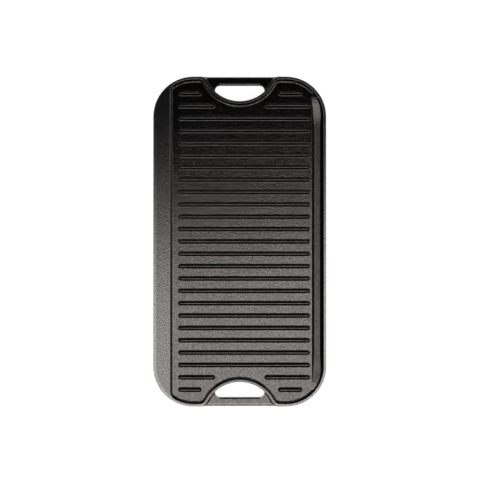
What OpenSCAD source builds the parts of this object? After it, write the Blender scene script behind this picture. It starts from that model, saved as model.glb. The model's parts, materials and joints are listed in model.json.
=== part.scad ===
// Reversible cast plate for a two-burner stove: ribbed grill face up, smooth griddle face under it.
// Millimetres. The plate rests on z = 0, its length runs along Y and its width along X.

/* [Plate] */
// Length over both ends
plate_length = 508; // [440:1:600]
// Width over both long sides
plate_width = 266.7; // [255:0.1:320]
// Height from the griddle crest below to the grill crest above
plate_height = 16; // [13:0.5:22]
// Thickness of the iron between the two cooking faces
web_thickness = 5; // [3.5:0.25:7]
// Plan radius of the four corners
corner_radius = 62; // [50:1:70]

/* [Rim] */
// Flat of the rim crest, from the outer edge
rim_crest = 4; // [3:0.1:6]
// Run of a cast wall for each millimetre of drop
wall_run = 0.44; // [0.2:0.02:0.6]
// Fillet where the rim wall meets a cooking face
foot_fillet = 3; // [1:0.25:4]
// Rounding of the crest edges
edge_round = 0.8; // [0.3:0.1:1.2]
// Draft of the outer wall, from the parting line at half height to a crest
side_draft = 0.3; // [0.1:0.05:0.6]

/* [Gutters and bands] */
// Width of the raised band beside each cooking face, from the outer edge
band_width = 26.4; // [25:0.1:34]
// Fillet where the band wall meets a cooking face
band_fillet = 1.5; // [0.5:0.25:3]
// Plan radius of the corner between a band and the rim
well_corner = 13; // [8:0.5:16]
// Flat width of the gutter floor
gutter_floor_width = 8.8; // [7:0.2:11.6]
// Run of the gutter's inner wall for each millimetre of drop
gutter_wall_run = 0.65; // [0.3:0.05:0.8]
// Fillet where the gutter's walls meet its floor
gutter_fillet = 1.2; // [0.4:0.2:2]
// Rounding of the edge between a cooking face and its gutter
gutter_edge_round = 0.8; // [0.4:0.1:2]
// How far a gutter runs past the start of the corners
gutter_end = 34.8; // [20:0.2:40]
// Length of the ramp at each end of a gutter
gutter_ramp = 54; // [45:1:90]
// Length of the ramp's rounded top
ramp_top = 18; // [10:1:30]

/* [Hand slots and grips] */
// Radius of the slot's curved side
slot_radius = 55.6; // [50:0.2:60]
// How far the centre of that curve lies past the plate's end
slot_overhang = 18; // [14:0.5:22]
// Radius of the rim's turn from the end into the slot
turn_radius = 15.4; // [12:0.2:18]
// Width of the slot along X
slot_width = 76; // [60:1:84]
// Radius of the slot's two outer corners
slot_corner = 7; // [4:0.5:10]
// Depth of the grip bar from the plate's end
grip_depth = 13.4; // [10:0.2:16]
// Thickness of the grip bar
grip_thickness = 7; // [5:0.25:10]
// Rounding of the grip bar's edges
grip_round = 2.4; // [1:0.2:2.4]
// Fillet where the rim stands on a grip's root
root_fillet = 1; // [0.4:0.1:1.5]

/* [Ribs] */
// Distance from one rib to the next
rib_pitch = 19.05; // [15:0.05:26]
// Height of a rib over the grill face
rib_height = 4.5; // [3:0.1:5]
// Flat of a rib's crest
rib_crest = 1.6; // [1.6:0.1:4]
// Run of a rib's flank for each millimetre of drop
rib_run = 0.55; // [0.2:0.05:0.6]
// Rounding of a rib's crest edges
rib_round = 1; // [0.3:0.1:1]
// Fillet at a rib's foot
rib_fillet = 1.2; // [0.4:0.1:1.5]
// Clear floor between a rib's end and the rim
rib_rim_gap = 8.8; // [6:0.1:16]
// Clear floor between a rib's end and the band
rib_band_gap = 8.1; // [4:0.1:16]
// Clear floor between a rib's end and the gutter
rib_gutter_gap = 2.4; // [1:0.1:6]

/* [Hidden] */
$fn = 96;
arc_steps = 4;
ramp_steps = 14;
// Reach of a cutting solid past what it cuts
past = 1;
// Iron colour of the preview
iron = "#2d2c2b";

half_length = plate_length / 2;
half_width = plate_width / 2;
well_depth = (plate_height - web_thickness) / 2;
floor_top = plate_height - well_depth;
floor_under = well_depth;
corner_x = half_width - corner_radius;
corner_y = half_length - corner_radius;

// Distances u are measured inwards from the outer edge of the rim.
rim_foot = foot_at(rim_crest, well_depth, foot_fillet, wall_run);
band_foot = foot_at(band_width, well_depth, band_fillet, wall_run);
gutter_floor = web_thickness;
gutter_depth = floor_top - gutter_floor;
gutter_foot = foot_at(rim_crest, plate_height - gutter_floor, 0, wall_run);
gutter_edge = foot_at(gutter_foot + gutter_floor_width, gutter_depth, gutter_fillet, gutter_wall_run);
// The ramp hollows up to this share of its length, then rounds off.
ramp_turn = 1 - ramp_top / gutter_ramp;
// The rim's foot fillet starts past the ramp and grows by this run for each millimetre of rise.
foot_start = asin(gutter_end / (corner_radius - rim_foot));
foot_lead = 2;
foot_lean = 2.6;

// Centre of the rounded corner between a band and the rim, and the part of its turn that is drawn.
nook_x = half_width - band_width - well_corner;
nook_y = snapped(
    corner_y + sqrt(pow(corner_radius - rim_crest - well_corner, 2) - pow(nook_x - corner_x, 2))
);
nook_lead = 8;
nook_end = atan2(nook_y - corner_y, nook_x - corner_x) - nook_lead / 2;

// The casting is divided where its features meet.
split_x = half_width - band_foot;
split_margin = 4;
slot_reach = slot_radius - slot_overhang;
split_y = half_length - slot_reach - rim_foot - split_margin;

slot_centre = [0, half_length + slot_overhang];
turn_y = half_length - turn_radius;
turn_drop = slot_overhang + turn_radius;
turn_x = snapped(sqrt(pow(slot_radius + turn_radius, 2) - turn_drop * turn_drop));
turn_tilt = atan(turn_drop / turn_x);
// The rim round a slot is this much thinner on each side and runs on into the turn.
slot_lap = 0.02;
lap_angle = 0.3;
slot_straight = slot_width / 2 - slot_corner;
slot_edge = half_length - grip_depth;
grip_low = (plate_height - grip_thickness) / 2;
grip_high = grip_low + grip_thickness;

rib_half = foot_at(rib_crest / 2, rib_height, rib_fillet, rib_run);
rib_left = rib_band_gap - split_x;
rib_right = half_width - gutter_edge - rib_gutter_gap;
island_clear = slot_radius + rim_foot + rib_rim_gap;
corner_clear = corner_radius - rim_foot - rib_rim_gap;
last_row = floor((half_length - rim_foot - rib_rim_gap - rib_half) / rib_pitch);

// Sizes that two solids share are kept to a hundredth, so that their faces meet.
function snapped(value) = round(value * 100) / 100;

// Where a wall's foot ends on the floor below it.
function foot_at(edge, drop, fillet, run) =
    snapped(edge + run * drop + fillet * tan((90 - atan(run)) / 2));

function arc(centre, radius, from, to, steps = arc_steps) = [
    for (i = [0:steps])
        let (a = from + (to - from) * i / steps)
        [snapped(centre[0] + radius * cos(a)), snapped(centre[1] + radius * sin(a))]
];

// A cast wall as [u, z] points: its rounded upper edge, then its filleted foot.
function wall(edge, top, foot, round, fillet, run) =
    let (draft = atan(run), k = tan((90 - draft) / 2))
    concat(
        arc([edge - round * k, top - round], round, 90, draft),
        arc([foot_at(edge, top - foot, fillet, run), foot + fillet], fillet, 180 + draft, 270)
    );

// Points of a wall with its foot carried on into the floor, so that the two cross cleanly.
function sunk(points) =
    let (last = len(points) - 1)
    concat([for (i = [0:last - 1]) points[i]], [2 * points[last] - points[last - 1]]);

function rim_wall(lap = 0) =
    sunk(wall(rim_crest - lap, plate_height, floor_top, edge_round, foot_fillet, wall_run));

function outer_edge(lap = 0) =
    arc([side_draft + edge_round + lap, plate_height - edge_round], edge_round, 180, 90);

function flipped(points) =
    [for (i = [len(points) - 1:-1:0]) [points[i][0], plate_height - points[i][1]]];

// Rim section at the ends, the same above and below, drawn in by a lap on both sides.
function end_section(lap = 0) =
    let (upper = concat(outer_edge(lap), rim_wall(lap)))
    concat([[lap, plate_height / 2]], upper, flipped(upper));

// Rim section beside a gutter, solid down to the band under it.
function gutter_section() =
    let (
        face = sunk(wall(rim_crest, plate_height, gutter_floor, edge_round, gutter_fillet, wall_run)),
        foot = face[len(face) - 1][0]
    )
    concat([[0, plate_height / 2]], outer_edge(), face, [[foot, 0]], flipped(outer_edge()));

// Wall of a rim on the grip's root beside it, the same above and below.
function root_section(lap = 0) =
    let (
        face = sunk(wall(-side_draft - lap, plate_height, grip_high, edge_round, root_fillet, wall_run)),
        upper = concat([[rim_crest - edge_round, plate_height]], [for (p = face) [-p[0], p[1]]])
    )
    concat(upper, flipped(upper));

// Foot of the rim wall past a gutter's end, drawn into the rim behind it.
function foot_section() =
    let (face = rim_wall(), last = len(face) - 1)
    concat(
        [for (i = [arc_steps + 1:last]) face[i]],
        [[face[last][0], plate_height / 2], [rim_crest, plate_height / 2], [rim_crest, floor_top]]
    );

// Sweeps of a section along X, along Y and round an arc.
module along_x(points, from, to) {
    translate([from, 0, 0])
        rotate([90, 0, 90])
            linear_extrude(to - from)
                polygon(points);
}

module along_y(points, from, to) {
    translate([0, to, 0])
        rotate([90, 0, 0])
            linear_extrude(to - from)
                polygon(points);
}

module round_arc(points, centre, radius, side, from, angle) {
    translate([centre[0], centre[1], 0])
        rotate([0, 0, from])
            rotate_extrude(angle = angle)
                polygon([for (p = points) [radius + side * p[0], p[1]]]);
}

module both_ends() {
    children();
    mirror([0, 1, 0])
        children();
}

module both_sides() {
    children();
    mirror([1, 0, 0])
        children();
}

// Plan of the plate drawn in by u.
module inset_plan(u) {
    square([2 * corner_x, 2 * (half_length - u)], center = true);
    square([2 * (half_width - u), 2 * corner_y], center = true);
    for (x = [-corner_x, corner_x])
        for (y = [-corner_y, corner_y])
            translate([x, y])
                circle(corner_radius - u);
}

// Trough of a gutter, open upwards, with a ramp at each end.
module gutter_void() {
    inner = wall(
        half_width - gutter_edge, floor_top, gutter_floor,
        gutter_edge_round, gutter_fillet, gutter_wall_run
    );
    outer = half_width + past;
    across = concat(
        [[inner[0][0], plate_height]],
        inner,
        [[outer, gutter_floor], [outer, plate_height]]
    );
    ramp = [
        for (i = [0:ramp_steps])
            let (t = i / ramp_steps)
            [
                snapped(corner_y + gutter_end - gutter_ramp * (1 - t)),
                snapped(gutter_floor + gutter_depth * ramp_rise(t))
            ]
    ];
    half = concat(ramp, [[corner_y + gutter_end, plate_height]]);
    along = concat(half, [for (i = [len(half) - 1:-1:0]) [-half[i][0], half[i][1]]]);
    intersection() {
        along_y(across, -half_length, half_length);
        along_x(along, split_x, outer);
    }
}

// Height of the ramp as a share of its rise, hollow at first and rounded at its top.
function ramp_rise(t) =
    t < ramp_turn ? t * t / ramp_turn : 1 - (1 - t) * (1 - t) / (1 - ramp_turn);

// Points of the band's wall on the griddle face, as [u, z].
function band_wall() = [
    for (p = sunk(wall(band_width, plate_height, floor_top, edge_round, band_fillet, wall_run)))
        [p[0], plate_height - p[1]]
];

// Space beside the band's wall, on the griddle face.
module band_wall_void() {
    face = [for (p = band_wall()) [half_width - p[0], p[1]]];
    inner = face[len(face) - 1][0];
    along_y(concat([[face[0][0], -past]], face, [[inner, -past]]), -nook_y, nook_y);
}

// Space in the rounded corner where the band's wall turns into the rim.
module nook_void() {
    face = [for (p = band_wall()) [well_corner + band_width - p[0], p[1]]];
    translate([nook_x, nook_y, 0])
        rotate_extrude(angle = 90)
            polygon(concat([[0, -past], [face[0][0], -past]], face, [[0, face[len(face) - 1][1]]]));
}

// Iron round that corner, inside the rim.
module nook_fill() {
    reach = 2 * well_corner;
    difference() {
        linear_extrude(floor_under + past)
            intersection() {
                inset_plan(rim_crest / 2);
                translate([nook_x, nook_y])
                    polygon([
                        [0, 0],
                        reach * [cos(nook_lead), sin(nook_lead)],
                        [reach, reach],
                        reach * [cos(nook_end), sin(nook_end)]
                    ]);
            }
        nook_void();
    }
}

// Foot of the rim wall past a gutter's end, growing out of the floor.
module foot_ring() {
    start = corner_y + gutter_end + foot_lead - foot_lean * floor_top;
    low = plate_height / 2 - past;
    intersection() {
        round_arc(foot_section(), [corner_x, corner_y], corner_radius, -1, foot_start, 90 - foot_start);
        along_x(
            [
                [start + foot_lean * low, low],
                [plate_length, low],
                [plate_length, plate_height],
                [start + foot_lean * plate_height, plate_height]
            ],
            corner_x, half_width
        );
    }
}

// Rim of a long side, with its two corners.
module rail_rim() {
    along_y([for (p = gutter_section()) [half_width - p[0], p[1]]], -corner_y, corner_y);
    both_ends() {
        round_arc(gutter_section(), [corner_x, corner_y], corner_radius, -1, 0, 90);
        foot_ring();
    }
}

// Long side of the casting: rim, gutter above and band below.
module gutter_rail() {
    difference() {
        union() {
            difference() {
                linear_extrude(floor_top)
                    intersection() {
                        inset_plan(rim_crest);
                        translate([split_x, -half_length])
                            square([half_width, plate_length]);
                    }
                gutter_void();
            }
            intersection() {
                rail_rim();
                translate([split_x, -plate_length, -past])
                    cube([half_width, 2 * plate_length, plate_height + 2 * past]);
            }
        }
        band_wall_void();
        both_ends()
            nook_void();
    }
}

// Rim round one hand slot, with its turns out to the plate's end.
module slot_rim(ends, lapped) {
    both_sides()
        round_arc(ends, [turn_x, turn_y], turn_radius, -1, 90, 90 - turn_tilt);
    round_arc(
        lapped, slot_centre, norm([turn_x, turn_drop]) - turn_radius, 1,
        180 + turn_tilt - lap_angle, 180 - 2 * turn_tilt + 2 * lap_angle
    );
}

// Cooking face between the rim and the hand slot, from one x to another.
module end_floor(from, to) {
    translate([0, 0, floor_under])
        linear_extrude(web_thickness)
            difference() {
                intersection() {
                    inset_plan(rim_crest);
                    translate([from, split_y])
                        square([to - from, half_length]);
                }
                translate(slot_centre)
                    circle(slot_radius + rim_crest);
            }
}

// Space between the grip's roots: the hand slot, and the bar across its straight part.
module slot_plan() {
    translate([-slot_straight, slot_edge - plate_length])
        square([2 * slot_straight, 2 * plate_length]);
    translate([-slot_width / 2, slot_edge - slot_corner - plate_length])
        square([slot_width, plate_length]);
    for (x = [-slot_straight, slot_straight])
        translate([x, slot_edge - slot_corner])
            circle(slot_corner);
}

// Grip section as [y, z] points. The inner edge is rounded where the slot runs beside it.
function grip_outer_edge() =
    concat(
        arc([half_length - grip_round, grip_low + grip_round], grip_round, 270, 360),
        arc([half_length - grip_round, grip_high - grip_round], grip_round, 0, 90)
    );

function grip_inner_edge() =
    concat(
        arc([slot_edge + grip_round, grip_high - grip_round], grip_round, 90, 180),
        arc([slot_edge + grip_round, grip_low + grip_round], grip_round, 180, 270)
    );

// Plan of the grip's roots, on both sides of the hand slot, as far as the rim's turns.
module root_plan() {
    difference() {
        union() {
            translate(slot_centre)
                circle(slot_radius + rim_crest / 2);
            translate([-turn_x, turn_y])
                square([2 * turn_x, half_length]);
        }
        for (x = [-turn_x, turn_x])
            translate([x, turn_y])
                circle(turn_radius - rim_crest / 2);
        slot_plan();
    }
}

// Roots that carry the grip bar out of the rim, and the rim's wall over them.
module grip_roots() {
    inner = half_length - slot_reach - rim_crest;
    intersection() {
        along_x(
            concat(grip_outer_edge(), [[inner, grip_high], [inner, grip_low]]),
            -half_width, half_width
        );
        linear_extrude(plate_height)
            root_plan();
    }
    intersection() {
        slot_rim(root_section(), root_section(slot_lap));
        translate([0, 0, -past])
            linear_extrude(plate_height + 2 * past)
                intersection() {
                    root_plan();
                    translate([-half_width, 0])
                        square([plate_width, half_length]);
                }
    }
}

// Middle of one end: the rim round the hand slot, its floor and the grip's roots.
module slot_casting() {
    slot_rim(end_section(), end_section(slot_lap));
    end_floor(-turn_x, turn_x);
    grip_roots();
}

// Right corner of one end, with the band's rounded corner on the griddle face.
module corner_casting() {
    ends = end_section();
    intersection() {
        translate([turn_x, split_y, -past])
            cube([split_x - turn_x, plate_length, plate_height + 2 * past]);
        union() {
            round_arc(ends, [corner_x, corner_y], corner_radius, -1, 0, 90);
            along_x([for (p = ends) [half_length - p[0], p[1]]], turn_x - past, corner_x);
            end_floor(turn_x - past, split_x + past);
            nook_fill();
        }
    }
}

// The left side is the right side turned over.
module turned_over() {
    translate([0, 0, plate_height])
        rotate([0, 180, 0])
            children();
}

module grip_bar() {
    along_x(concat(grip_outer_edge(), grip_inner_edge()), -slot_straight, slot_straight);
}

// Rib from one end to the other, both ends rounded.
module rib(from, to) {
    flank = wall(rib_crest / 2, rib_height, 0, rib_round, rib_fillet, rib_run);
    left = snapped(from + rib_half);
    right = snapped(to - rib_half);
    along_x(concat(flank, [for (i = [len(flank) - 1:-1:0]) [-flank[i][0], flank[i][1]]]), left, right);
    for (tip = [[left, 90], [right, -90]])
        translate([tip[0], 0, 0])
            rotate([0, 0, tip[1]])
                rotate_extrude(angle = 180)
                    polygon(concat([[0, 0], [0, rib_height]], flank));
}

// Rows that run clear of a hand slot are whole, the others stop on each side of it.
function slot_gap(y) =
    let (dy = slot_centre[1] - abs(y))
    dy < island_clear ? sqrt(island_clear * island_clear - dy * dy) : 0;

function corner_limit(y) =
    let (dy = max(0, abs(y) - corner_y))
    corner_x + sqrt(corner_clear * corner_clear - dy * dy);

function row_left(y) = max(rib_left, -corner_limit(y));

function row_right(y) = min(rib_right, corner_limit(y));

module rib_rows(split) {
    for (row = [-last_row:last_row]) {
        y = row * rib_pitch;
        gap = slot_gap(y);
        translate([0, y, floor_top]) {
            if (!split && gap == 0)
                rib(row_left(y), row_right(y));
            if (split && gap > 0) {
                rib(row_left(y), -gap);
                rib(gap, row_right(y));
            }
        }
    }
}

// One module for each node.
module cooking_web() {
    color(iron)
        translate([-split_x, -split_y, floor_under])
            cube([2 * split_x, 2 * split_y, web_thickness]);
}

module grill_gutter_rail() {
    color(iron)
        gutter_rail();
}

module griddle_gutter_rail() {
    color(iron)
        turned_over()
            gutter_rail();
}

module front_rim() {
    color(iron)
        mirror([0, 1, 0])
            slot_casting();
}

module front_left_corner() {
    color(iron)
        mirror([0, 1, 0])
            turned_over()
                corner_casting();
}

module front_right_corner() {
    color(iron)
        mirror([0, 1, 0])
            corner_casting();
}

module rear_rim() {
    color(iron)
        slot_casting();
}

module rear_left_corner() {
    color(iron)
        turned_over()
            corner_casting();
}

module rear_right_corner() {
    color(iron)
        corner_casting();
}

module front_grip() {
    color(iron)
        mirror([0, 1, 0])
            grip_bar();
}

module rear_grip() {
    color(iron)
        grip_bar();
}

module long_ribs() {
    color(iron)
        rib_rows(false);
}

module short_ribs() {
    color(iron)
        rib_rows(true);
}

cooking_web();
grill_gutter_rail();
griddle_gutter_rail();
front_rim();
front_left_corner();
front_right_corner();
rear_rim();
rear_left_corner();
rear_right_corner();
front_grip();
rear_grip();
long_ribs();
short_ribs();
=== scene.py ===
"""Dresses the reversible cast-iron griddle plate: seasoned castings, cast ribs, studio and camera.

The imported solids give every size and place. The castings keep their own meshes and get a sand-cast,
oil-seasoned finish, and the ribs are grown again with Geometry Nodes from the sizes of a cast rib.
"""

from __future__ import annotations

import json
import logging
import math
from dataclasses import dataclass, field
from enum import Enum
from typing import Any

import bmesh
import bpy
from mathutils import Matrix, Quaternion, Vector

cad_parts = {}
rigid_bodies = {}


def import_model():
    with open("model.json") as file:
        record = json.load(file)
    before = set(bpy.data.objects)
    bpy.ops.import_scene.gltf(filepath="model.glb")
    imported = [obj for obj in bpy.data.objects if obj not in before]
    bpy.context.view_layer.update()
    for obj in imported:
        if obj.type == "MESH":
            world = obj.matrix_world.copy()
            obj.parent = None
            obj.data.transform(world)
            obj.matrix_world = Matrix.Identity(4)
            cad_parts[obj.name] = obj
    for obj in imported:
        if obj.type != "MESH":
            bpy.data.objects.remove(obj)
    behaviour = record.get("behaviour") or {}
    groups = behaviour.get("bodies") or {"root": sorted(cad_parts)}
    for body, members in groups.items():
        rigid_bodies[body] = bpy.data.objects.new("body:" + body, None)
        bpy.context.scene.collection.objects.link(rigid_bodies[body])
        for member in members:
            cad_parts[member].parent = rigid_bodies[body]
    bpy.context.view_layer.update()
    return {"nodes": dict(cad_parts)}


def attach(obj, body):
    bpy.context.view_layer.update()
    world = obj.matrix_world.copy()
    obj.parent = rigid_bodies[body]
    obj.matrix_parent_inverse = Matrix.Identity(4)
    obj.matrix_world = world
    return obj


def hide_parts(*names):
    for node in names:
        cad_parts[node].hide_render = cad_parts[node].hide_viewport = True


Tree = bpy.types.NodeTree
Socket = bpy.types.NodeSocket
Box = tuple[Vector, Vector]

LOG = logging.getLogger("griddle_plate")
BODY = "root"
MM = 0.001
# Points of a rib that lie nearer to each other than this are one point.
MERGE = 0.001 * MM

# Node kinds that the trees use most.
MATH = "ShaderNodeMath"
VECTOR_MATH = "ShaderNodeVectorMath"
SPLIT = "ShaderNodeSeparateXYZ"
JOIN = "ShaderNodeCombineXYZ"
MAP_RANGE = "ShaderNodeMapRange"
# Colour inputs and colour output of a Mix node.
MIX_FROM, MIX_TO, MIX_COLOUR = 6, 7, 2


class Casting(Enum):
    """Nodes of the casting that keep their own solids."""

    WEB = "cooking_web"
    GRILL_RAIL = "grill_gutter_rail"
    GRIDDLE_RAIL = "griddle_gutter_rail"
    FRONT_RIM = "front_rim"
    FRONT_LEFT_CORNER = "front_left_corner"
    FRONT_RIGHT_CORNER = "front_right_corner"
    REAR_RIM = "rear_rim"
    REAR_LEFT_CORNER = "rear_left_corner"
    REAR_RIGHT_CORNER = "rear_right_corner"
    FRONT_GRIP = "front_grip"
    REAR_GRIP = "rear_grip"


class RibRow(Enum):
    """Nodes that hold the ribs of the grill face."""

    LONG = "long_ribs"
    SHORT = "short_ribs"


class Mark(Enum):
    """Attributes that carry a rib's own values through its tree."""

    SKIN = "skin"
    CENTRE = "centre"
    HALF_SPAN = "half_span"


def linear(hex_colour: str) -> tuple[float, float, float, float]:
    """Turns an sRGB hex colour into a linear one.

    Args:
        hex_colour: Colour as "#rrggbb".

    Returns:
        Linear red, green, blue and an alpha of 1.
    """
    parts = [int(hex_colour[i : i + 2], 16) / 255 for i in (1, 3, 5)]
    red, green, blue = (
        p / 12.92 if p <= 0.04045 else ((p + 0.055) / 1.055) ** 2.4 for p in parts
    )
    return red, green, blue, 1.0


def add_node(
    tree: Tree, kind: str, inputs: dict[str | int, Any] | None = None, **settings: Any
) -> bpy.types.Node:
    """Adds a node with its settings, its input values and its incoming links.

    Args:
        tree: Shader or geometry tree that gets the node.
        kind: Blender's name of the node type.
        inputs: Value or output socket for each input, by name or number.
        **settings: Properties of the node itself.

    Returns:
        The new node.
    """
    node = tree.nodes.new(kind)
    for name, value in settings.items():
        setattr(node, name, value)
    for key, value in (inputs or {}).items():
        if isinstance(value, Socket):
            tree.links.new(value, node.inputs[key])
        else:
            node.inputs[key].default_value = value
    return node


@dataclass(frozen=True)
class Grain:
    """One pattern of the casting's skin: its real size, its finer octaves and its relief."""

    size_mm: float
    octaves: float = 0.0
    gain: float = 0.5
    depth_mm: float = 0.0


@dataclass(frozen=True)
class SeasonedIron:
    """Sand-cast iron under a baked oil film."""

    # The mould's sand gives the eye a pebbled skin, and the oil film makes it satin: flat faces
    # take a soft sheen from the lamps, and painted shade helps drafted walls fall almost to black.
    name: str = "sand_cast_oil_seasoned_iron"
    film: str = "#4f4d4c"
    bare: str = "#585655"
    burnt: str = "#494644"
    roughness: float = 0.12
    roughness_spread: float = 0.03
    # The sand's own grain is too fine to show at 1.5 mm a pixel, and only spreads the sheen.
    sand: Grain = Grain(0.5, depth_mm=0.045)
    # Clumps of the sand are the grain drawn as coarse as it needs to show.
    clump: Grain = Grain(1.7, depth_mm=0.16)
    # Grit darkens and lightens the skin by this share of its colour, between its usual ends.
    grit: Grain = Grain(2.0, octaves=2.0, gain=0.55)
    grit_tone: float = 0.60
    grit_ends: tuple[float, float] = (0.25, 0.75)
    # Slow waves of the mould's face.
    wave: Grain = Grain(14.0, octaves=2.0, depth_mm=0.03)
    # Patches of the baked oil, from burnt to whole.
    patch: Grain = Grain(55.0, octaves=3.0)
    # Plan of the plate, the height of its middle plane and the thickness of its web.
    half_width_mm: float = 133.35
    half_length_mm: float = 254.0
    corner_mm: float = 62.0
    middle_mm: float = 8.0
    web_mm: float = 5.0
    # Distances from the long middle line between which a gutter lies, the limit of its depth, and
    # the depths over which its finish sets in.
    gutter_mm: tuple[float, float] = (111.6, 127.0)
    gutter_limit_mm: float = 5.8
    gutter_lip_mm: tuple[float, float] = (0.05, 0.8)
    # Painted shade darkens a gutter a little, and baked fat adds this much to its roughness.
    gutter_painted_shade_tone: float = 0.82
    gutter_dulling: float = 0.28
    # Painted light brightens the sloping ramps at a gutter's ends, between these depths.
    ramp_painted_light_tone: float = 0.60
    ramp_foot_mm: tuple[float, float] = (5.3, 4.4)
    ramp_head_mm: tuple[float, float] = (0.1, 1.2)
    # Painted shade darkens steep walls of the well and flanks of the ribs, away from the outline.
    painted_wall_shade_tone: float = 0.28
    painted_wall_shade_level: tuple[float, float] = (0.98, 0.82)
    painted_wall_shade_inset_mm: tuple[float, float] = (3.6, 4.8)
    # The painted shade stops short of the crests' edges, over these heights from the middle plane.
    painted_wall_shade_height_mm: tuple[float, float] = (7.5, 7.1)
    # Handling wear and a painted highlight brighten the outer edge of both faces, over these insets.
    edge_wear_and_highlight_tone: float = 0.54
    edge_inset_mm: tuple[float, float] = (5.4, 4.2)
    # Wear bares the crests and the bands, over these heights from the middle plane, and adds this
    # much to their roughness.
    wear_mm: tuple[float, float] = (7.05, 7.6)
    wear_dulling: float = 0.06

    def build(self) -> bpy.types.Material:
        """Builds the node material.

        Returns:
            The iron material, patterned on Object coordinates.
        """
        material = bpy.data.materials.new(self.name)
        material.use_nodes = True
        tree = material.node_tree
        tree.nodes.clear()
        coordinates = add_node(tree, "ShaderNodeTexCoord").outputs
        noises = self._noises(tree, coordinates["Object"])
        masks = self._masks(tree, coordinates)
        iron = add_node(
            tree,
            "ShaderNodeBsdfPrincipled",
            {
                "Base Color": self._colour(tree, noises, masks),
                "Metallic": 1.0,
                "Roughness": self._roughness(tree, noises, masks),
                "Normal": self._relief(tree, noises),
            },
        )
        add_node(tree, "ShaderNodeOutputMaterial", {"Surface": iron.outputs["BSDF"]})
        return material

    def _noises(self, tree: Tree, place: Socket) -> dict[Grain, Socket]:
        """Draws the patterns of the skin.

        Args:
            tree: Tree of the iron material.
            place: Object coordinates.

        Returns:
            Noise of each pattern, around one half.
        """
        return {
            grain: add_node(
                tree,
                "ShaderNodeTexNoise",
                {
                    "Vector": place,
                    "Scale": 1 / (grain.size_mm * MM),
                    "Detail": grain.octaves,
                    "Roughness": grain.gain,
                },
            ).outputs["Fac"]
            for grain in (self.sand, self.clump, self.grit, self.wave, self.patch)
        }

    def _colour(
        self, tree: Tree, noises: dict[Grain, Socket], masks: dict[str, Socket]
    ) -> Socket:
        """Lays the oil film's patches and the worn iron over each other and shades them.

        Args:
            tree: Tree of the iron material.
            noises: Patterns of the skin.
            masks: Masks of wear, of edge wear with painted highlight, and of painted shade and light.

        Returns:
            Socket with the colour of the skin.
        """
        colour: Any = linear(self.burnt)
        for factor, over in ((noises[self.patch], self.film), (masks["worn"], self.bare)):
            colour = add_node(
                tree,
                "ShaderNodeMix",
                {"Factor": factor, MIX_FROM: colour, MIX_TO: linear(over)},
                data_type="RGBA",
            ).outputs[MIX_COLOUR]
        tone = add_node(
            tree,
            MAP_RANGE,
            {
                "Value": noises[self.grit],
                "From Min": self.grit_ends[0],
                "From Max": self.grit_ends[1],
                "To Min": 1 - self.grit_tone,
                "To Max": 1 + self.grit_tone,
            },
        ).outputs[0]
        # The gutters and the steep walls get painted shade, the gutter ramps painted light, and the
        # outer edge wear with a painted highlight.
        shares = {
            "gutter": self.gutter_painted_shade_tone - 1,
            "ramp": self.ramp_painted_light_tone,
            "edge": self.edge_wear_and_highlight_tone,
            "painted_wall_shade": self.painted_wall_shade_tone - 1,
        }
        for name, share in shares.items():
            factor = add_node(
                tree, MATH, {0: masks[name], 1: share, 2: 1.0}, operation="MULTIPLY_ADD"
            ).outputs[0]
            tone = add_node(tree, MATH, {0: tone, 1: factor}, operation="MULTIPLY").outputs[0]
        return add_node(
            tree, VECTOR_MATH, {0: colour, "Scale": tone}, operation="SCALE"
        ).outputs[0]

    def _roughness(
        self, tree: Tree, noises: dict[Grain, Socket], masks: dict[str, Socket]
    ) -> Socket:
        """Varies the film's satin with the grit and dulls the gutters and the crests.

        Args:
            tree: Tree of the iron material.
            noises: Patterns of the skin.
            masks: Masks of wear, of edge wear with painted highlight, and of painted shade and light.

        Returns:
            Socket with the roughness of the skin.
        """
        roughness = add_node(
            tree,
            MAP_RANGE,
            {
                "Value": noises[self.grit],
                "From Min": self.grit_ends[0],
                "From Max": self.grit_ends[1],
                "To Min": self.roughness + self.roughness_spread / 2,
                "To Max": self.roughness - self.roughness_spread / 2,
            },
        ).outputs[0]
        for name, added in (("gutter", self.gutter_dulling), ("worn", self.wear_dulling)):
            roughness = add_node(
                tree, MATH, {0: masks[name], 1: added, 2: roughness}, operation="MULTIPLY_ADD"
            ).outputs[0]
        return roughness

    def _relief(self, tree: Tree, noises: dict[Grain, Socket]) -> Socket:
        """Raises the waves, the clumps and the sand, each on the one before.

        Args:
            tree: Tree of the iron material.
            noises: Patterns of the skin.

        Returns:
            Socket with the bent normal.
        """
        relief: dict[str, Socket] = {}
        for grain in (self.wave, self.clump, self.sand):
            raised = {"Height": noises[grain], "Distance": grain.depth_mm * MM, "Strength": 1.0}
            relief["Normal"] = add_node(tree, "ShaderNodeBump", raised | relief).outputs["Normal"]
        return relief["Normal"]

    def _masks(self, tree: Tree, coordinates: bpy.types.NodeOutputs) -> dict[str, Socket]:
        """Masks wear, edge wear with a painted highlight, and where shade and light are painted.

        Args:
            tree: Tree of the iron material.
            coordinates: Outputs of the coordinate node.

        Returns:
            Masks by name, 1 where the mark is full and 0 where it is absent.
        """
        spot = add_node(
            tree, VECTOR_MATH, {0: coordinates["Object"], "Scale": 1 / MM}, operation="SCALE"
        ).outputs[0]
        height = self._height(tree, spot)
        depth = self._gutter_depth(tree, spot)
        inset = self._inset(tree, spot)
        upright = add_node(tree, SPLIT, {0: coordinates["Normal"]}).outputs["Z"]
        level = add_node(tree, MATH, {0: upright}, operation="ABSOLUTE").outputs[0]
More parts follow.
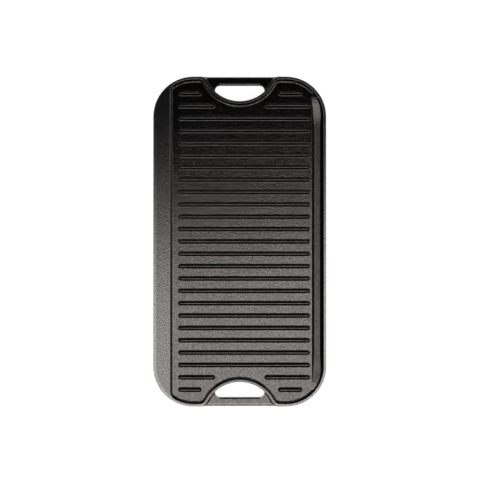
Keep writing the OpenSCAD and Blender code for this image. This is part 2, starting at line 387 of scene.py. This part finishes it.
        # A mask with several rows is their product.
        blends = (
            # Gutter rows mask painted shade, ramp rows painted light, the edge row wear with a
            # painted highlight, and the wall shade rows painted shade.
            ("worn", "LINEAR", height, self.wear_mm),
            ("gutter", "SMOOTHSTEP", depth, self.gutter_lip_mm),
            ("ramp", "SMOOTHSTEP", depth, self.ramp_foot_mm),
            ("ramp", "SMOOTHSTEP", depth, self.ramp_head_mm),
            ("edge", "SMOOTHSTEP", inset, self.edge_inset_mm),
            ("painted_wall_shade", "SMOOTHSTEP", level, self.painted_wall_shade_level),
            ("painted_wall_shade", "SMOOTHSTEP", inset, self.painted_wall_shade_inset_mm),
            ("painted_wall_shade", "SMOOTHSTEP", height, self.painted_wall_shade_height_mm),
        )
        masks: dict[str, Socket] = {}
        for name, way, value, (start, end) in blends:
            blend = add_node(
                tree,
                MAP_RANGE,
                {"Value": value, "From Min": start, "From Max": end},
                interpolation_type=way,
            ).outputs[0]
            if name in masks:
                blend = add_node(
                    tree, MATH, {0: masks[name], 1: blend}, operation="MULTIPLY"
                ).outputs[0]
            masks[name] = blend
        return masks

    def _height(self, tree: Tree, spot: Socket) -> Socket:
        """Measures how far a point lies from the plate's middle plane.

        Args:
            tree: Tree of the iron material.
            spot: Object coordinates in millimetres.

        Returns:
            Socket with the distance in millimetres, the same for both faces.
        """
        level = add_node(tree, SPLIT, {0: spot}).outputs["Z"]
        over = add_node(tree, MATH, {0: level, 1: self.middle_mm}, operation="SUBTRACT").outputs[0]
        return add_node(tree, MATH, {0: over}, operation="ABSOLUTE").outputs[0]

    def _gutter_depth(self, tree: Tree, spot: Socket) -> Socket:
        """Measures how deep a point of a gutter lies under its cooking face.

        Args:
            tree: Tree of the iron material.
            spot: Object coordinates in millimetres.

        Returns:
            Socket with the depth in millimetres, 0 outside the two gutters.
        """
        part = add_node(tree, SPLIT, {0: spot}).outputs
        side = add_node(tree, MATH, {0: part["X"]}, operation="SIGN").outputs[0]
        aside = add_node(tree, MATH, {0: part["X"]}, operation="ABSOLUTE").outputs[0]
        under = add_node(
            tree, MATH, {0: self.middle_mm, 1: part["Z"]}, operation="SUBTRACT"
        ).outputs[0]
        # The grill face's gutter lies on the right and opens upwards, and the other one is its
        # half turn.
        depth = add_node(
            tree, MATH, {0: side, 1: under, 2: self.web_mm / 2}, operation="MULTIPLY_ADD"
        ).outputs[0]
        limits = (
            ("LESS_THAN", depth, self.gutter_limit_mm),
            ("GREATER_THAN", aside, self.gutter_mm[0]),
            ("LESS_THAN", aside, self.gutter_mm[1]),
        )
        for test, value, limit in limits:
            within = add_node(tree, MATH, {0: value, 1: limit}, operation=test).outputs[0]
            depth = add_node(tree, MATH, {0: depth, 1: within}, operation="MULTIPLY").outputs[0]
        return depth

    def _inset(self, tree: Tree, spot: Socket) -> Socket:
        """Measures how far a point lies inwards from the plate's outline.

        Args:
            tree: Tree of the iron material.
            spot: Object coordinates in millimetres.

        Returns:
            Socket with the distance in millimetres, up to the corner radius.
        """
        # No point lies higher than twice the middle plane, so heights don't count.
        straight = (
            self.half_width_mm - self.corner_mm,
            self.half_length_mm - self.corner_mm,
            2 * self.middle_mm,
        )
        spread = add_node(tree, VECTOR_MATH, {0: spot}, operation="ABSOLUTE").outputs[0]
        past = add_node(
            tree, VECTOR_MATH, {0: spread, 1: straight}, operation="SUBTRACT"
        ).outputs[0]
        turned = add_node(
            tree, VECTOR_MATH, {0: past, 1: (0.0, 0.0, 0.0)}, operation="MAXIMUM"
        ).outputs[0]
        reach = add_node(tree, VECTOR_MATH, {0: turned}, operation="LENGTH").outputs["Value"]
        return add_node(tree, MATH, {0: self.corner_mm, 1: reach}, operation="SUBTRACT").outputs[0]


@dataclass
class Castings:
    """Web, rails, rims, corners and grips, which keep the solids of the frame."""

    nodes: dict[str, bpy.types.Object]
    iron: bpy.types.Material

    def dress(self) -> list[bpy.types.Object]:
        """Gives every casting the iron finish.

        Returns:
            The dressed objects.
        """
        dressed = []
        for casting in Casting:
            piece = self.nodes[casting.value]
            for slot in piece.material_slots:
                slot.material = self.iron
            dressed.append(piece)
        return dressed


@dataclass
class RibField:
    """Cast ribs of the grill face, grown along rows by a Geometry Nodes tree."""

    nodes: dict[str, bpy.types.Object]
    iron: bpy.types.Material
    height: float = 4.5 * MM
    crest: float = 1.6 * MM
    # Width that a flank gains for each unit of its height.
    run: float = 0.55
    # Radii of the crest's edges and of the foot's fillets, and the points on each arc.
    rounding: float = 1.0 * MM
    fillet: float = 1.2 * MM
    arc_points: int = 6
    # Steps round each tip of a rib, and points down its section.
    around: int = 10
    down: int = 40
    # Edges that turn more than this stay sharp.
    sharp_degrees: float = 50.0
    # Digits, in metres, to which the ribs of one row agree.
    row_digits: int = 5
    tree: Tree = field(init=False)

    def __post_init__(self) -> None:
        """Builds the tree once for both kinds of row."""
        self.tree = self._build_tree()

    @property
    def half_width(self) -> float:
        """Half the width of a rib at its foot, fillet included."""
        flare = math.pi / 2 - math.atan(self.run)
        return self.crest / 2 + self.run * self.height + self.fillet * math.tan(flare / 2)

    def grow(self, row: RibRow) -> bpy.types.Object:
        """Grows the ribs of one node and lets them stand for it.

        Args:
            row: Node whose ribs are grown.

        Returns:
            The finished rib object.
        """
        seeds = self._seeds(row)
        piece = bpy.data.objects.new(f"{row.value}_cast", seeds)
        bpy.context.scene.collection.objects.link(piece)
        modifier = piece.modifiers.new("ribs", "NODES")
        modifier.node_group = self.tree
        values = {
            "Height": self.height,
            "Crest": self.crest,
            "Run": self.run,
            "Rounding": self.rounding,
            "Fillet": self.fillet,
            "Foot": self.half_width,
            "Around": self.around,
            "Down": self.down,
            "Iron": self.iron,
        }
        for item in self.tree.interface.items_tree:
            if item.in_out == "INPUT" and item.name in values:
                modifier[item.identifier] = values[item.name]
        graph = bpy.context.evaluated_depsgraph_get()
        grown = bpy.data.meshes.new_from_object(piece.evaluated_get(graph))
        piece.modifiers.remove(modifier)
        piece.data = grown
        grown.name = piece.name
        bpy.data.meshes.remove(seeds)
        self._close(grown)
        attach(piece, BODY)
        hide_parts(row.value)
        return piece

    def _seeds(self, row: RibRow) -> bpy.types.Mesh:
        """Sets a seed point at the foot of every rib, under its middle.

        Args:
            row: Node whose ribs are grown.

        Returns:
            Mesh of the points, each marked with half the distance between its rib's tips.
        """
        boxes = self._rib_boxes(self.nodes[row.value].data)
        seeds = bpy.data.meshes.new(f"{row.value}_seeds")
        points = [((lo.x + hi.x) / 2, (lo.y + hi.y) / 2, lo.z) for lo, hi in boxes]
        seeds.from_pydata(points, [], [])
        spans = seeds.attributes.new(Mark.HALF_SPAN.value, "FLOAT", "POINT")
        for item, (lo, hi) in zip(spans.data, boxes):
            item.value = (hi.x - lo.x) / 2 - self.half_width
        return seeds

    def _rib_boxes(self, mesh: bpy.types.Mesh) -> list[Box]:
        """Finds the box of every separate rib in a node.

        Args:
            mesh: Mesh of the node.

        Returns:
            Lowest and highest corner of each rib, from left to right and front to back.
        """
        shell = bmesh.new()
        shell.from_mesh(mesh)
        bmesh.ops.remove_doubles(shell, verts=shell.verts, dist=MERGE)
        waiting = set(shell.verts)
        boxes = []
        while waiting:
            stack = [waiting.pop()]
            points = []
            while stack:
                vertex = stack.pop()
                points.append(vertex.co.copy())
                for edge in vertex.link_edges:
                    other = edge.other_vert(vertex)
                    if other in waiting:
                        waiting.remove(other)
                        stack.append(other)
            lo, hi = (
                Vector([pick(point[axis] for point in points) for axis in range(3)])
                for pick in (min, max)
            )
            boxes.append((lo, hi))
        shell.free()
        return sorted(boxes, key=lambda box: (round(box[0].y, self.row_digits), box[0].x))

    def _close(self, mesh: bpy.types.Mesh) -> None:
        """Turns the faces outwards and smooths all but the foot's edge.

        Args:
            mesh: Mesh of the grown ribs.
        """
        shell = bmesh.new()
        shell.from_mesh(mesh)
        bmesh.ops.remove_doubles(shell, verts=shell.verts, dist=MERGE)
        bmesh.ops.dissolve_degenerate(shell, edges=shell.edges, dist=MERGE)
        bmesh.ops.recalc_face_normals(shell, faces=shell.faces)
        for face in shell.faces:
            face.smooth = True
        shell.to_mesh(mesh)
        shell.free()
        mesh.set_sharp_from_angle(angle=math.radians(self.sharp_degrees))

    def _build_tree(self) -> Tree:
        """Builds the tree that grows one rib on every seed point.

        Returns:
            The Geometry Nodes tree, with a named input for each size.
        """
        tree = bpy.data.node_groups.new("cast_rib_rows", "GeometryNodeTree")
        given = (
            ("NodeSocketGeometry", ("Seeds",)),
            ("NodeSocketFloat", ("Height", "Crest", "Run", "Rounding", "Fillet", "Foot")),
            ("NodeSocketInt", ("Around", "Down")),
            ("NodeSocketMaterial", ("Iron",)),
        )
        for kind, names in given:
            for name in names:
                tree.interface.new_socket(name=name, in_out="INPUT", socket_type=kind)
        tree.interface.new_socket(name="Ribs", in_out="OUTPUT", socket_type="NodeSocketGeometry")
        sizes = add_node(tree, "NodeGroupInput").outputs
        # The turns round both tips take 2 (Around + 1) columns, and one more closes the ring.
        columns = add_node(
            tree, MATH, {0: sizes["Around"], 1: 2.0, 2: 3.0}, operation="MULTIPLY_ADD"
        ).outputs[0]
        grid = add_node(
            tree, "GeometryNodeMeshGrid", {"Vertices X": columns, "Vertices Y": sizes["Down"]}
        ).outputs
        foot = add_node(tree, "GeometryNodeInputPosition").outputs[0]
        skin, seeds = (
            add_node(
                tree,
                "GeometryNodeStoreNamedAttribute",
                {"Geometry": points, "Name": mark.value, "Value": value},
                data_type="FLOAT_VECTOR",
                domain="POINT",
            ).outputs[0]
            for points, mark, value in (
                (grid["Mesh"], Mark.SKIN, grid["UV Map"]),
                (sizes["Seeds"], Mark.CENTRE, foot),
            )
        )
        shape = add_node(
            tree, "GeometryNodeInstanceOnPoints", {"Points": seeds, "Instance": skin}
        ).outputs[0]
        where = self._skin_position(tree, sizes, self._profile(tree, sizes))
        stages = (
            ("GeometryNodeRealizeInstances", {}),
            ("GeometryNodeSetPosition", {"Position": where}),
            ("GeometryNodeMergeByDistance", {"Distance": MERGE}),
            ("GeometryNodeRealizeInstances", {}),
            ("GeometryNodeSetMaterial", {"Material": sizes["Iron"]}),
        )
        for kind, inputs in stages:
            shape = add_node(tree, kind, {"Geometry": shape, **inputs}).outputs[0]
        add_node(tree, "NodeGroupOutput", {0: shape})
        return tree

    def _profile(self, tree: Tree, sizes: bpy.types.NodeOutputs) -> Socket:
        """Draws the half section of a rib, from its crest down the flank and back under it.

        Args:
            tree: Tree of the ribs.
            sizes: Outputs of the tree's input node.

        Returns:
            Socket of the filleted section curve, as width along X and height along Z.
        """
        edge = add_node(tree, MATH, {0: sizes["Crest"], 1: 2.0}, operation="DIVIDE").outputs[0]
        toe = add_node(
            tree, MATH, {0: sizes["Height"], 1: sizes["Run"], 2: edge}, operation="MULTIPLY_ADD"
        ).outputs[0]
        # Each corner of the section, with the radius that rounds it where it has one.
        corners = (
            ({"Z": sizes["Height"]}, None),
            ({"X": edge, "Z": sizes["Height"]}, sizes["Rounding"]),
            ({"X": toe}, sizes["Fillet"]),
            ({"X": sizes["Foot"]}, None),
            ({}, None),
        )
        index = add_node(tree, "GeometryNodeInputIndex").outputs[0]
        places, radii = (
            add_node(tree, "GeometryNodeIndexSwitch", {"Index": index}, data_type=kind)
            for kind in ("VECTOR", "FLOAT")
        )
        for switch in (places, radii):
            while len(switch.index_switch_items) < len(corners):
                switch.index_switch_items.new()
        for number, (corner, radius) in enumerate(corners, start=1):
            tree.links.new(add_node(tree, JOIN, corner).outputs[0], places.inputs[number])
            if radius is not None:
                tree.links.new(radius, radii.inputs[number])
        line = add_node(tree, "GeometryNodeMeshLine", {"Count": len(corners)}).outputs[0]
        bent = add_node(
            tree, "GeometryNodeSetPosition", {"Geometry": line, "Position": places.outputs[0]}
        ).outputs[0]
        curve = add_node(tree, "GeometryNodeMeshToCurve", {"Mesh": bent}).outputs[0]
        return add_node(
            tree,
            "GeometryNodeFilletCurve",
            {
                "Curve": curve,
                "Count": self.arc_points,
                "Radius": radii.outputs[0],
                "Limit Radius": True,
            },
            mode="POLY",
        ).outputs[0]

    def _skin_position(
        self, tree: Tree, sizes: bpy.types.NodeOutputs, profile: Socket
    ) -> Socket:
        """Wraps a grid round a rib: half of it round each tip, and along the section downwards.

        Args:
            tree: Tree of the ribs.
            sizes: Outputs of the tree's input node.
            profile: Section curve of a rib.

        Returns:
            Socket with the place of each point.
        """
        skin, centre, span = (
            add_node(
                tree, "GeometryNodeInputNamedAttribute", {"Name": mark.value}, data_type=kind
            ).outputs[0]
            for mark, kind in (
                (Mark.SKIN, "FLOAT_VECTOR"),
                (Mark.CENTRE, "FLOAT_VECTOR"),
                (Mark.HALF_SPAN, "FLOAT"),
            )
        )
        grid = add_node(tree, SPLIT, {0: skin}).outputs
        around = sizes["Around"]
        # Columns 0 to Around turn round the right tip and the next Around + 1 round the left one.
        # The last column closes the ring. Both tests fall halfway between two columns.
        steps = add_node(
            tree, MATH, {0: around, 1: 2.0, 2: 2.0}, operation="MULTIPLY_ADD"
        ).outputs[0]
        column = add_node(tree, MATH, {0: grid["X"], 1: steps}, operation="MULTIPLY").outputs[0]
        tip_end = add_node(tree, MATH, {0: around, 1: 0.5}, operation="ADD").outputs[0]
        ring_end = add_node(tree, MATH, {0: steps, 1: 0.5}, operation="SUBTRACT").outputs[0]
        far, closing = (
            add_node(tree, MATH, {0: column, 1: end}, operation="GREATER_THAN").outputs[0]
            for end in (tip_end, ring_end)
        )
        left = add_node(tree, MATH, {0: far, 1: closing}, operation="SUBTRACT").outputs[0]
        turned = column
        for extra in (far, closing):
            turned = add_node(tree, MATH, {0: turned, 1: extra}, operation="SUBTRACT").outputs[0]
        share = add_node(tree, MATH, {0: turned, 1: around}, operation="DIVIDE").outputs[0]
        angle = add_node(
            tree, MATH, {0: share, 1: math.pi, 2: -math.pi / 2}, operation="MULTIPLY_ADD"
        ).outputs[0]
        across, along = (
            add_node(tree, MATH, {0: angle}, operation=wave).outputs[0]
            for wave in ("COSINE", "SINE")
        )
        sample = add_node(
            tree,
            "GeometryNodeSampleCurve",
            {"Curves": profile, "Factor": grid["Y"]},
            mode="FACTOR",
            use_all_curves=True,
        ).outputs["Position"]
        section = add_node(tree, SPLIT, {0: sample}).outputs
        # The right tip lies half the span to one side of the centre, the left one to the other.
        side = add_node(
            tree, MATH, {0: left, 1: -2.0, 2: 1.0}, operation="MULTIPLY_ADD"
        ).outputs[0]
        shift = add_node(tree, MATH, {0: side, 1: span}, operation="MULTIPLY").outputs[0]
        x = add_node(
            tree, MATH, {0: across, 1: section["X"], 2: shift}, operation="MULTIPLY_ADD"
        ).outputs[0]
        y = add_node(tree, MATH, {0: along, 1: section["X"]}, operation="MULTIPLY").outputs[0]
        local = add_node(tree, JOIN, {"X": x, "Y": y, "Z": section["Z"]}).outputs[0]
        return add_node(tree, VECTOR_MATH, {0: local, 1: centre}, operation="ADD").outputs[0]


@dataclass(frozen=True)
class MattePaper:
    """Matte white paper of the studio."""

    # It shows plain white to the eye and in reflections, and still takes the plate's shadow.
    name: str = "matte_white_paper"
    colour: str = "#f2f1ef"
    # Strength of the plain white, and its share beside the plate and far from it.
    white_level: float = 1.38
    glow: tuple[float, float] = (0.62, 0.96)
    # Distances from the plate's middle over which that share grows, in metres.
    glow_reach: tuple[float, float] = (0.45, 1.30)

    def build(self) -> bpy.types.Material:
        """Builds the node material.

        Returns:
            The paper material.
        """
        material = bpy.data.materials.new(self.name)
        material.use_nodes = True
        tree = material.node_tree
        tree.nodes.clear()
        path = add_node(tree, "ShaderNodeLightPath").outputs
        seen: Any = 0.0
        for ray in ("Is Camera Ray", "Is Glossy Ray", "Is Transmission Ray"):
            seen = add_node(
                tree, MATH, {0: seen, 1: path[ray]}, operation="ADD", use_clamp=True
            ).outputs[0]
        place = add_node(tree, "ShaderNodeTexCoord").outputs["Object"]
        away = add_node(tree, VECTOR_MATH, {0: place}, operation="LENGTH").outputs["Value"]
        glow = add_node(
            tree,
            MAP_RANGE,
            {
                "Value": away,
                "From Min": self.glow_reach[0],
                "From Max": self.glow_reach[1],
                "To Min": self.glow[0],
                "To Max": self.glow[1],
            },
            interpolation_type="SMOOTHSTEP",
        ).outputs[0]
        share = add_node(tree, MATH, {0: seen, 1: glow}, operation="MULTIPLY").outputs[0]
        matte = add_node(tree, "ShaderNodeBsdfDiffuse", {"Color": linear(self.colour)}).outputs[0]
        white = add_node(tree, "ShaderNodeEmission", {"Strength": self.white_level}).outputs[0]
        mixed = add_node(tree, "ShaderNodeMixShader", {0: share, 1: matte, 2: white}).outputs[0]
        add_node(tree, "ShaderNodeOutputMaterial", {"Surface": mixed})
        return material


@dataclass(frozen=True)
class SoftBox:
    """One lamp of the studio: a rectangular soft light aimed at a point, turned about its axis."""

    name: str
    place: tuple[float, float, float]
    aim: tuple[float, float, float]
    width: float
    depth: float
    radiance: float
    turn_degrees: float = 0.0

    def hang(self) -> bpy.types.Object:
        """Hangs the lamp.

        Returns:
            The lamp object.
        """
        lamp = bpy.data.lights.new(self.name, "AREA")
        lamp.shape = "RECTANGLE"
        lamp.size = self.width
        lamp.size_y = self.depth
        lamp.energy = self.radiance * math.pi * self.width * self.depth
        hung = bpy.data.objects.new(self.name, lamp)
        hung.location = self.place
        aimed = (Vector(self.aim) - Vector(self.place)).to_track_quat("-Z", "Y")
        turn = Quaternion((0, 0, 1), math.radians(self.turn_degrees))
        hung.rotation_euler = (aimed @ turn).to_euler()
        hung.visible_camera = False
        bpy.context.scene.collection.objects.link(hung)
        return hung


@dataclass
class Studio:
    """Pale paper sweep, soft lamps, a dim room and the camera over the plate."""

    paper: MattePaper = MattePaper()
    sweep_radius: float = 5.0
    sweep_height: float = 1.6
    sweep_steps: int = 96
    cove: float = 0.6
    cove_steps: int = 8
    # Where the sweep closes on itself, its points lie within this of each other.
    seam: float = 0.01 * MM
    floor_drop: float = 0.2 * MM
    room: str = "#ffffff"
    room_horizon: float = 0.38
    room_zenith: float = 0.02
    # Rise of a direction, as a share of its length, from which the room is darkest.
    room_rise: float = 0.85
    crest_height: float = 16 * MM
    camera_distance: float = 1.40
    sensor_mm: float = 36.0
    # Width of the photograph in pixels, and the size of a pixel at the height of the crests.
    photo_px: int = 480
    pixel_mm: float = 1.5375
    # The plate's centre lies this far left of the photograph's middle and this far below it.
    offset_px: tuple[float, float] = (0.25, 1.55)
    # The overhead panel's edge lies over the plate, so that its light fades towards the rear.
    lamps: tuple[SoftBox, ...] = (
        SoftBox("overhead_panel", (0.0, -0.79, 2.20), (0.0, -0.79, 0.0), 2.4, 1.62, 2.85, 9.0),
        SoftBox("left_panel", (-1.3, 0.1, 0.6), (0.0, 0.1, 0.0), 1.6, 0.6, 1.6),
        SoftBox("right_panel", (1.2, 0.1, 0.75), (0.0, 0.1, 0.0), 1.6, 1.0, 1.8),
        SoftBox("rear_strip", (0.0, 1.7, 0.7), (0.0, 0.0, 0.0), 2.0, 0.5, 1.6),
    )

    def build(self) -> None:
        """Sets up the room, the sweep, the lamps and the camera."""
        scene = bpy.context.scene
        scene.view_settings.view_transform = "Standard"
        self._room(scene)
        self._sweep(scene)
        for lamp in self.lamps:
            lamp.hang()
        self._camera(scene)

    def _room(self, scene: bpy.types.Scene) -> None:
        """Gives the scene a room that is dark overhead and paler towards the horizon.

        Args:
            scene: Scene that gets the world.
        """
        world = bpy.data.worlds.new("dim_room")
        world.use_nodes = True
        tree = world.node_tree
        tree.nodes.clear()
        facing = add_node(tree, "ShaderNodeTexCoord").outputs["Generated"]
        rise = add_node(tree, SPLIT, {0: facing}).outputs["Z"]
        level = add_node(
            tree,
            MAP_RANGE,
            {
                "Value": rise,
                "From Min": 0.0,
                "From Max": self.room_rise,
                "To Min": self.room_horizon,
                "To Max": self.room_zenith,
            },
            interpolation_type="SMOOTHSTEP",
        ).outputs[0]
        glow = add_node(
            tree, "ShaderNodeBackground", {"Color": linear(self.room), "Strength": level}
        ).outputs[0]
        add_node(tree, "ShaderNodeOutputWorld", {"Surface": glow})
        scene.world = world

    def _sweep(self, scene: bpy.types.Scene) -> None:
        """Lays the paper sweep: a round floor that rises into a low wall.

        Args:
            scene: Scene that gets the sweep.
        """
        inner = self.sweep_radius - self.cove
        outline = [(0.0, 0.0), (inner, 0.0)]
        for step in range(1, self.cove_steps + 1):
            turn = math.pi / 2 * step / self.cove_steps
            outline.append((inner + self.cove * math.sin(turn), self.cove * (1 - math.cos(turn))))
        outline.append((self.sweep_radius, self.sweep_height))
        shell = bmesh.new()
        points = [shell.verts.new((x, 0.0, z - self.floor_drop)) for x, z in outline]
        edges = [shell.edges.new(pair) for pair in zip(points, points[1:])]
        bmesh.ops.spin(
            shell,
            geom=points + edges,
            cent=(0, 0, 0),
            axis=(0, 0, 1),
            angle=2 * math.pi,
            steps=self.sweep_steps,
        )
        bmesh.ops.remove_doubles(shell, verts=shell.verts, dist=self.seam)
        bmesh.ops.recalc_face_normals(shell, faces=shell.faces)
        for face in shell.faces:
            face.smooth = True
        mesh = bpy.data.meshes.new("paper_sweep")
        shell.to_mesh(mesh)
        shell.free()
        mesh.materials.append(self.paper.build())
        sweep = bpy.data.objects.new("paper_sweep", mesh)
        scene.collection.objects.link(sweep)

    def _camera(self, scene: bpy.types.Scene) -> None:
        """Hangs the camera straight over the plate, framed as the photograph is.

        Args:
            scene: Scene that gets the camera.
        """
        field_width = self.photo_px * self.pixel_mm * MM
        lens = bpy.data.cameras.new("overhead_camera")
        lens.sensor_width = self.sensor_mm
        lens.lens = lens.sensor_width * self.camera_distance / field_width
        camera = bpy.data.objects.new("overhead_camera", lens)
        across, along = (offset * self.pixel_mm * MM for offset in self.offset_px)
        camera.location = (across, along, self.camera_distance + self.crest_height)
        scene.collection.objects.link(camera)
        scene.camera = camera


def clear_scene() -> None:
    """Removes whatever the empty file came with."""
    for thing in list(bpy.data.objects):
        bpy.data.objects.remove(thing)


def main() -> None:
    """Loads the frame, dresses the plate and sets up the studio."""
    logging.basicConfig(level=logging.INFO, format="%(name)s: %(message)s")
    clear_scene()
    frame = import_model()
    iron = SeasonedIron().build()
    for piece in Castings(frame["nodes"], iron).dress():
        LOG.info("%s keeps its solid and rides on %s", piece.name, BODY)
    ribs = RibField(frame["nodes"], iron)
    for row in RibRow:
        piece = ribs.grow(row)
        LOG.info("%s stands for %s, %d faces", piece.name, row.value, len(piece.data.polygons))
    Studio().build()


if __name__ == "__main__":
    main()
